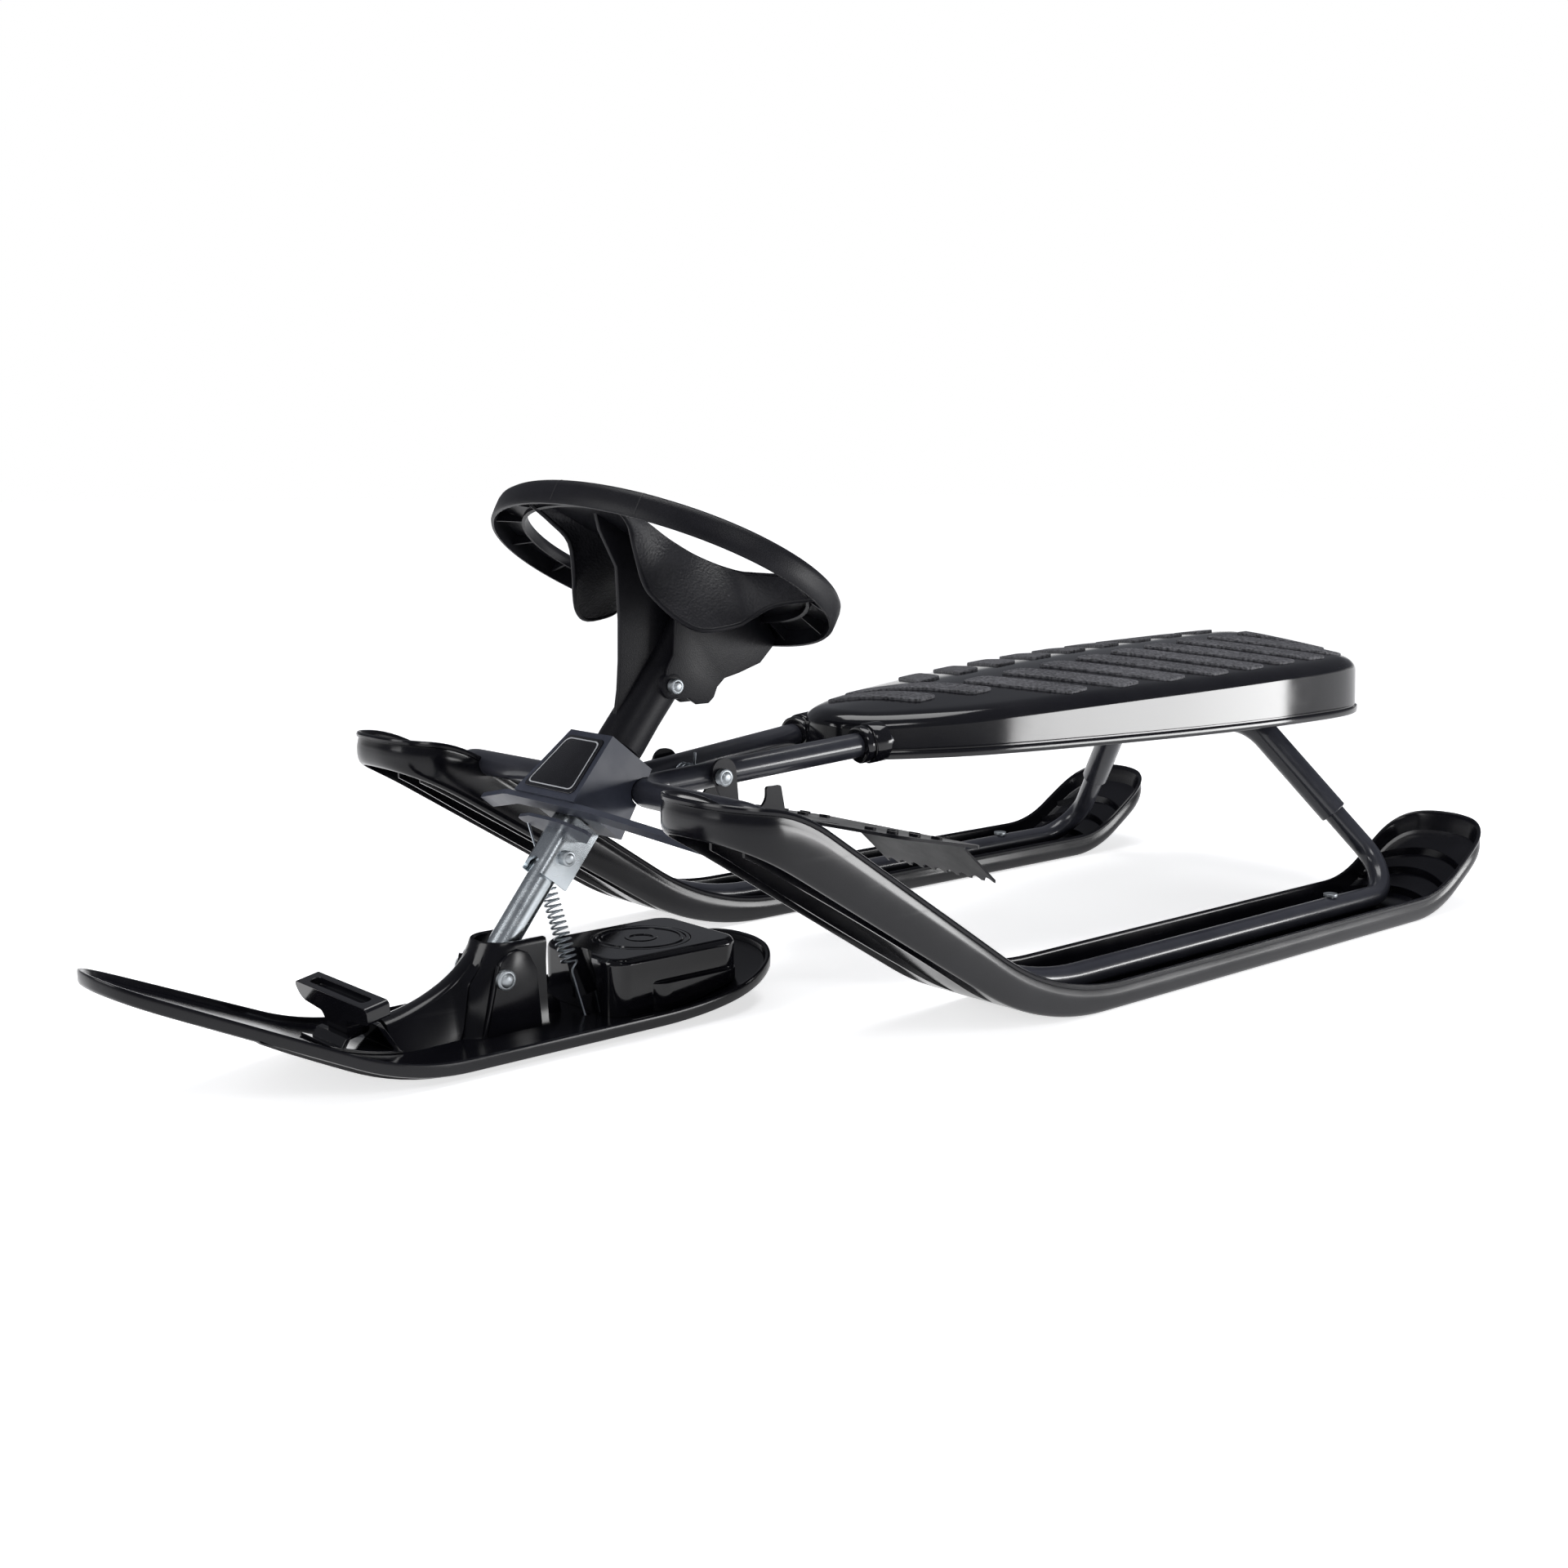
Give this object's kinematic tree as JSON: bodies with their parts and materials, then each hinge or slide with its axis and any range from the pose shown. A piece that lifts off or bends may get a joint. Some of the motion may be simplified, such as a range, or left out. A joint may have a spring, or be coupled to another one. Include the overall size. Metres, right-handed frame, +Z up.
{
  "type": "steering sled",
  "caption": "Low snow sled with a bent tube frame on rear skis, a padded seat, an oval steering wheel that turns a sprung front ski with a cord winder, and a toothed foot brake.",
  "frame": {"origin": "on the ground under the middle of the sled's box", "axes": "+X forward, +Y to the rider's left, +Z up"},
  "size_m": [1.1898, 0.48, 0.3784],
  "materials": {
    "ski_plastic": "black polyethylene with a soft gloss",
    "seat_plastic": "black gloss moulding",
    "grip_pads": "dark grey grained grip",
    "wheel_plastic": "black moulding with a fine leather grain",
    "frame_paint": "dark blue grey gloss powder paint on steel tube",
    "brake_paint": "black gloss paint on pressed steel",
    "zinc": "bright zinc plating",
    "spring_steel": "spring wire",
    "label": "bare black plate",
    "inner_plastic": "black engineering plastic",
    "axle_steel": "plain steel"
  },
  "bodies": {
    "frame": {"left_ski": "ski_plastic", "right_ski": "ski_plastic", "left_frame_tube": "frame_paint", "right_frame_tube": "frame_paint", "rear_arch": "frame_paint", "arch_saddle": "frame_paint", "joint_bolts": "zinc", "seat_shell": "seat_plastic", "seat_pads": "grip_pads", "seat_blocks": "inner_plastic", "head_hood": "frame_paint", "label_plate": "label", "upper_bush": "inner_plastic", "lower_bush": "inner_plastic", "brake_bolt": "zinc", "brake_spring": "spring_steel", "front_strap": "frame_paint"},
    "steering": {"steering_column": "zinc", "column_clevis": "zinc", "clevis_bolt": "zinc", "steering_wheel": "wheel_plastic", "wheel_bolt": "zinc", "wing_plate": "zinc", "tension_spring": "spring_steel"},
    "front_ski": {"front_ski": "ski_plastic", "pivot_bolt": "zinc", "winder_housing": "seat_plastic", "winder_lid": "seat_plastic", "reel_axle": "axle_steel", "recoil_spring": "spring_steel", "handle_holder": "seat_plastic"},
    "reel": {"winder_reel": "inner_plastic"},
    "handle": {"pull_handle": "seat_plastic"},
    "brake": {"brake": "brake_paint"}
  },
  "joints": [
    {"name": "steering", "type": "hinge", "parent": "frame", "child": "steering", "pos_m": [0.36, 0, 0], "axis": [-0.6225, 0, 0.7826], "range_deg": [-35, 35]},
    {"name": "front_ski_pitch", "type": "hinge", "parent": "steering", "child": "front_ski", "pos_m": [0.32261, 0, 0.047], "axis": [0, 1, 0], "range_deg": [-18, 12], "stiffness_Nm_per_rad": 8, "deforming": ["tension_spring"]},
    {"name": "reel_spin", "type": "hinge", "parent": "front_ski", "child": "reel", "pos_m": [0.19, 0, 0.03], "axis": [0, 0, 1], "range_deg": [0, 260]},
    {"name": "handle_pull", "type": "slide", "parent": "front_ski", "child": "handle", "axis": [0.2079, 0, 0.9781], "range_m": [0, 0.08], "stiffness_N_per_m": 20, "springref_m": -0.05},
    {"name": "brake_press", "type": "hinge", "parent": "frame", "child": "brake", "pos_m": [0.143, 0, 0.16731], "axis": [0, 1, 0], "range_deg": [-11.5, 0], "stiffness_Nm_per_rad": 5, "springref_deg": 22.92}
  ],
  "couplings": [
    {"joint": "reel_spin", "follows": "handle_pull", "rad_per_m": 55.556}
  ]
}
